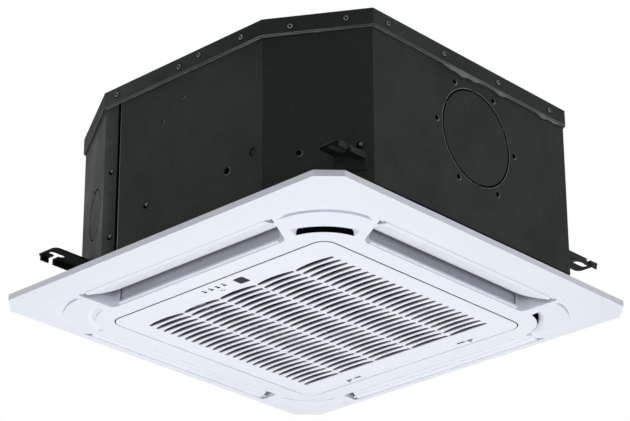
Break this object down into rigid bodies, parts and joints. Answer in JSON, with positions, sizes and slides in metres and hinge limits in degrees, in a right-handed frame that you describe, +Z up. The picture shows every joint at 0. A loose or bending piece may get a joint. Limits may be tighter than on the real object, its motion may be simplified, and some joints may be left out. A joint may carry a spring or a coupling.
{
  "type": "ceiling cassette air conditioner",
  "caption": "Compact ceiling cassette air conditioner: white square panel with a hinged slotted grille and tilting outlet vanes, under a black octagonal casing on hanger brackets.",
  "frame": {"origin": "middle of the ceiling opening, on the plane of the finished ceiling", "axes": "+Z up into the ceiling void; -Y towards the display side of the grille; +X to the right when looking along +Y"},
  "size_m": [0.647, 0.647, 0.317],
  "materials": {
    "panel_white": "satin",
    "vane_white": "satin",
    "grille_white": "satin",
    "casing_black": "satin",
    "bracket_black": "satin",
    "seal_grey": "matte",
    "liner_grey": "matte",
    "foam_black": "matte",
    "pan_foam": "matte",
    "fin_metal": "satin",
    "copper": "satin",
    "dark_plastic": "matte",
    "motor_steel": "brushed",
    "box_steel": "satin",
    "dark_window": "gloss",
    "filter_grey": "matte"
  },
  "bodies": {
    "cassette": {"panel_frame": "panel_white", "corner_cover_1": "panel_white", "corner_cover_2": "panel_white", "corner_cover_3": "panel_white", "corner_cover_4": "panel_white", "casing_shell": "casing_black", "lid": "casing_black", "hanger_bracket_1": "bracket_black", "hanger_bracket_2": "bracket_black", "hanger_bracket_3": "bracket_black", "hanger_bracket_4": "bracket_black", "lid_seal_strip": "seal_grey", "duct_liner_1": "liner_grey", "duct_liner_2": "liner_grey", "duct_liner_3": "liner_grey", "duct_liner_4": "liner_grey", "side_insulation": "foam_black", "panel_gasket": "foam_black", "corner_guide_1": "foam_black", "corner_guide_2": "foam_black", "corner_guide_3": "foam_black", "corner_guide_4": "foam_black", "drain_pan": "pan_foam", "outlet_foam": "pan_foam", "drain_spigot": "pan_foam", "evaporator_coil": "fin_metal", "tube_sheet_1": "copper", "tube_sheet_2": "copper", "gas_pipe_stub": "copper", "liquid_pipe_stub": "copper", "drain_pump": "dark_plastic", "float_switch": "dark_plastic", "bell_mouth": "dark_plastic", "louver_motor_1": "dark_plastic", "louver_motor_2": "dark_plastic", "louver_motor_3": "dark_plastic", "louver_motor_4": "dark_plastic", "fan_motor": "motor_steel", "control_box": "box_steel", "control_box_cover": "box_steel"},
    "fan": {"turbo_fan": "dark_plastic", "fan_shaft": "motor_steel", "fan_nut": "motor_steel"},
    "vane_1": {"louver_1": "vane_white"},
    "vane_2": {"louver_2": "vane_white"},
    "vane_3": {"louver_3": "vane_white"},
    "vane_4": {"louver_4": "vane_white"},
    "grille": {"intake_grille": "grille_white", "air_filter": "filter_grey", "display_module": "dark_plastic", "sensor_window": "dark_window"},
    "latch_left": {"latch_1": "grille_white"},
    "latch_right": {"latch_2": "grille_white"}
  },
  "joints": [
    {"name": "fan_spin", "type": "hinge", "parent": "cassette", "child": "fan", "pos_m": [0, 0, 0.15], "axis": [0, 0, 1], "continuous": true},
    {"name": "louver_1_tilt", "type": "hinge", "parent": "cassette", "child": "vane_1", "pos_m": [0, -0.2824, -0.0174], "axis": [1, 0, 0], "range_deg": [-31.5, 27]},
    {"name": "louver_2_tilt", "type": "hinge", "parent": "cassette", "child": "vane_2", "pos_m": [0.2824, 0, -0.0174], "axis": [0, 1, 0], "range_deg": [-31.5, 27]},
    {"name": "louver_3_tilt", "type": "hinge", "parent": "cassette", "child": "vane_3", "pos_m": [0, 0.2824, -0.0174], "axis": [-1, 0, 0], "range_deg": [-31.5, 27]},
    {"name": "louver_4_tilt", "type": "hinge", "parent": "cassette", "child": "vane_4", "pos_m": [-0.2824, 0, -0.0174], "axis": [0, -1, 0], "range_deg": [-31.5, 27]},
    {"name": "grille_hinge", "type": "hinge", "parent": "cassette", "child": "grille", "pos_m": [0, -0.186, -0.0258], "axis": [-1, 0, 0], "range_deg": [0, 90]},
    {"name": "latch_1_slide", "type": "slide", "parent": "grille", "child": "latch_left", "axis": [0, -1, 0], "range_m": [0, 0.006]},
    {"name": "latch_2_slide", "type": "slide", "parent": "grille", "child": "latch_right", "axis": [0, -1, 0], "range_m": [0, 0.006]}
  ],
  "couplings": [
    {"joint": "louver_2_tilt", "follows": "louver_1_tilt", "ratio": 1},
    {"joint": "louver_3_tilt", "follows": "louver_1_tilt", "ratio": 1},
    {"joint": "louver_4_tilt", "follows": "louver_1_tilt", "ratio": 1}
  ]
}
